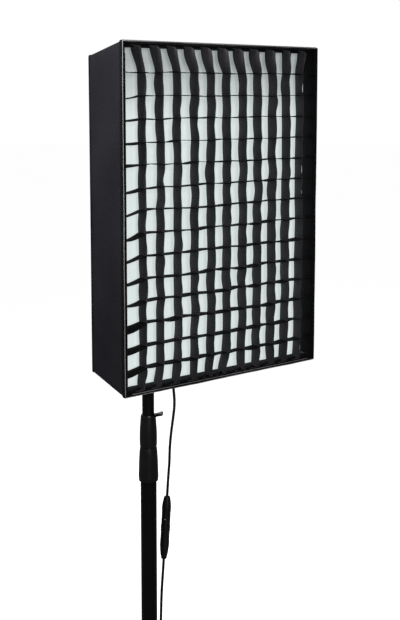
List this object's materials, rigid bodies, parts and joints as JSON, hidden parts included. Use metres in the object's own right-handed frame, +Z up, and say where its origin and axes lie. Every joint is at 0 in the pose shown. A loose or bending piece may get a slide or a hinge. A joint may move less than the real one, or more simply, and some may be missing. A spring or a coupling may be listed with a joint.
{
  "type": "monolight strobe",
  "caption": "Studio flash head with a shallow gridded softbox on a telescopic folding-leg stand, with a mains lead and inline coupler.",
  "frame": {"origin": "on the floor, on the stand's column axis", "axes": "+Z up along the column, the light faces -Y, +X to the right when looking along +Y"},
  "size_m": [0.7922, 0.827, 1.7265],
  "materials": {
    "black_fabric": "matte woven nylon",
    "white_fabric": "translucent white fabric",
    "grey_binding": "ribbed binding tape",
    "black_tube": "satin black",
    "collar_plastic": "satin moulded",
    "knob_plastic": "fine grain",
    "foot_rubber": "matte",
    "bright_steel": "brushed",
    "cast_metal": "matte black",
    "head_paint": "fine textured black",
    "panel_plastic": "fine grain",
    "display_glass": "gloss",
    "front_aluminium": "satin",
    "frosted_glass": "frosted",
    "lamp_glass": "clear",
    "fibre_rod": "satin",
    "cord_rubber": "matte",
    "coupler_plastic": "satin"
  },
  "bodies": {
    "stand_base": {"base_column": "black_tube", "collar_lower": "collar_plastic", "leg_fixed": "black_tube", "foot_fixed": "foot_rubber", "lead_lower": "cord_rubber", "lead_coil": "cord_rubber", "mains_plug": "cord_rubber"},
    "leg_right": {"leg_right": "black_tube", "foot_right": "foot_rubber"},
    "leg_left": {"leg_left": "black_tube", "foot_left": "foot_rubber"},
    "knob_lower": {"knob_lower": "knob_plastic"},
    "riser_mid": {"riser_mid": "black_tube", "collar_upper": "collar_plastic", "coupler_plug": "coupler_plastic", "coupler_socket": "coupler_plastic"},
    "coupler_ring": {"coupler_ring": "coupler_plastic"},
    "knob_upper": {"knob_upper": "knob_plastic"},
    "riser_top": {"riser_top": "black_tube", "spigot": "bright_steel", "riser_clip": "collar_plastic", "lead_upper": "cord_rubber"},
    "bracket": {"bracket": "cast_metal", "tilt_bolt": "bright_steel", "tail_cord_bracket": "cord_rubber"},
    "socket_knob": {"socket_knob": "knob_plastic"},
    "umbrella_screw": {"umbrella_screw": "knob_plastic"},
    "tilt_lever": {"tilt_lever": "knob_plastic"},
    "head": {"shell_upper": "head_paint", "shell_lower": "head_paint", "mount_foot": "cast_metal", "front_plate": "front_aluminium", "bayonet_ring": "bright_steel", "ring_insert": "cast_metal", "glass_dome": "frosted_glass", "flash_tube_and_lamp": "lamp_glass", "power_electronics": "panel_plastic", "rear_panel": "panel_plastic", "display_window": "display_glass", "rear_sockets": "panel_plastic", "carry_handle": "knob_plastic", "cord_gland": "cord_rubber", "tail_cord_head": "cord_rubber"},
    "bayonet_release": {"bayonet_release": "knob_plastic"},
    "fan_rotor": {"fan_rotor": "panel_plastic"},
    "power_dial": {"power_dial": "knob_plastic"},
    "test_button": {"test_button": "panel_plastic"},
    "power_switch": {"power_switch": "panel_plastic"},
    "softbox": {"speed_ring": "cast_metal", "rods": "fibre_rod", "skin_left": "black_fabric", "skin_right": "black_fabric", "skin_top": "black_fabric", "skin_bottom": "black_fabric", "skin_rear": "black_fabric", "inner_baffle": "white_fabric", "front_diffuser": "white_fabric", "grid": "black_fabric", "front_binding": "grey_binding"},
    "ring_lock_screw": {"ring_lock_screw": "knob_plastic"}
  },
  "joints": [
    {"name": "leg_right_fold", "type": "hinge", "parent": "stand_base", "child": "leg_right", "pos_m": [0, 0, 0.1435], "axis": [0, 0, -1], "range_deg": [0, 104]},
    {"name": "leg_left_fold", "type": "hinge", "parent": "stand_base", "child": "leg_left", "pos_m": [0, 0, 0.174], "axis": [0, 0, 1], "range_deg": [0, 104]},
    {"name": "lower_clamp_turn", "type": "hinge", "parent": "stand_base", "child": "knob_lower", "pos_m": [0, 0, 0.85], "axis": [0.6542, 0.7563, 0], "range_deg": [-30, 330]},
    {"name": "riser_mid_slide", "type": "slide", "parent": "stand_base", "child": "riser_mid", "axis": [0, 0, 1], "range_m": [0, 0.5], "deforming": ["lead_lower"]},
    {"name": "coupler_lock_turn", "type": "hinge", "parent": "riser_mid", "child": "coupler_ring", "pos_m": [0.0467, 0, 0.6815], "axis": [0.0734, 0, 0.9973], "range_deg": [0, 60]},
    {"name": "upper_clamp_turn", "type": "hinge", "parent": "riser_mid", "child": "knob_upper", "pos_m": [0, 0, 0.9415], "axis": [0.7338, -0.6348, 0.2419], "range_deg": [-30, 330]},
    {"name": "riser_top_slide", "type": "slide", "parent": "riser_mid", "child": "riser_top", "axis": [0, 0, 1], "range_m": [-0.2, 0.3], "deforming": ["lead_upper"]},
    {"name": "head_swivel", "type": "hinge", "parent": "riser_top", "child": "bracket", "pos_m": [0, 0, 1.246], "axis": [0, 0, 1], "range_deg": [-170, 170], "deforming": ["tail_cord_bracket"]},
    {"name": "socket_knob_turn", "type": "hinge", "parent": "bracket", "child": "socket_knob", "pos_m": [0, 0, 1.246], "axis": [1, 0, 0], "range_deg": [-30, 330]},
    {"name": "umbrella_screw_turn", "type": "hinge", "parent": "bracket", "child": "umbrella_screw", "pos_m": [0, 0, 1.296], "axis": [1, 0, 0], "range_deg": [-30, 330]},
    {"name": "tilt_lever_turn", "type": "hinge", "parent": "bracket", "child": "tilt_lever", "pos_m": [0, 0, 1.328], "axis": [1, 0, 0], "range_deg": [-30, 30]},
    {"name": "head_tilt", "type": "hinge", "parent": "bracket", "child": "head", "pos_m": [0, 0, 1.328], "axis": [-1, 0, 0], "range_deg": [-16, 45], "deforming": ["tail_cord_head"]},
    {"name": "bayonet_release_slide", "type": "slide", "parent": "head", "child": "bayonet_release", "axis": [0, 1, 0], "range_m": [0, 0.006], "stiffness_N_per_m": 200},
    {"name": "fan_spin", "type": "hinge", "parent": "head", "child": "fan_rotor", "pos_m": [0.028, 0.086, 1.412], "axis": [0, 1, 0], "continuous": true},
    {"name": "power_dial_turn", "type": "hinge", "parent": "head", "child": "power_dial", "pos_m": [-0.028, 0.1, 1.388], "axis": [0, 1, 0], "continuous": true},
    {"name": "test_button_press", "type": "slide", "parent": "head", "child": "test_button", "axis": [0, -1, 0], "range_m": [0, 0.002], "stiffness_N_per_m": 250},
    {"name": "power_switch_rock", "type": "hinge", "parent": "head", "child": "power_switch", "pos_m": [0.019, 0.101, 1.367], "axis": [1, 0, 0], "range_deg": [0, 16]},
    {"name": "softbox_turn", "type": "hinge", "parent": "head", "child": "softbox", "pos_m": [0, -0.08, 1.4], "axis": [0, 1, 0], "range_deg": [-90, 90]},
    {"name": "ring_lock_turn", "type": "hinge", "parent": "softbox", "child": "ring_lock_screw", "pos_m": [0, -0.081, 1.33], "axis": [0, 0, 1], "range_deg": [-30, 330]}
  ]
}
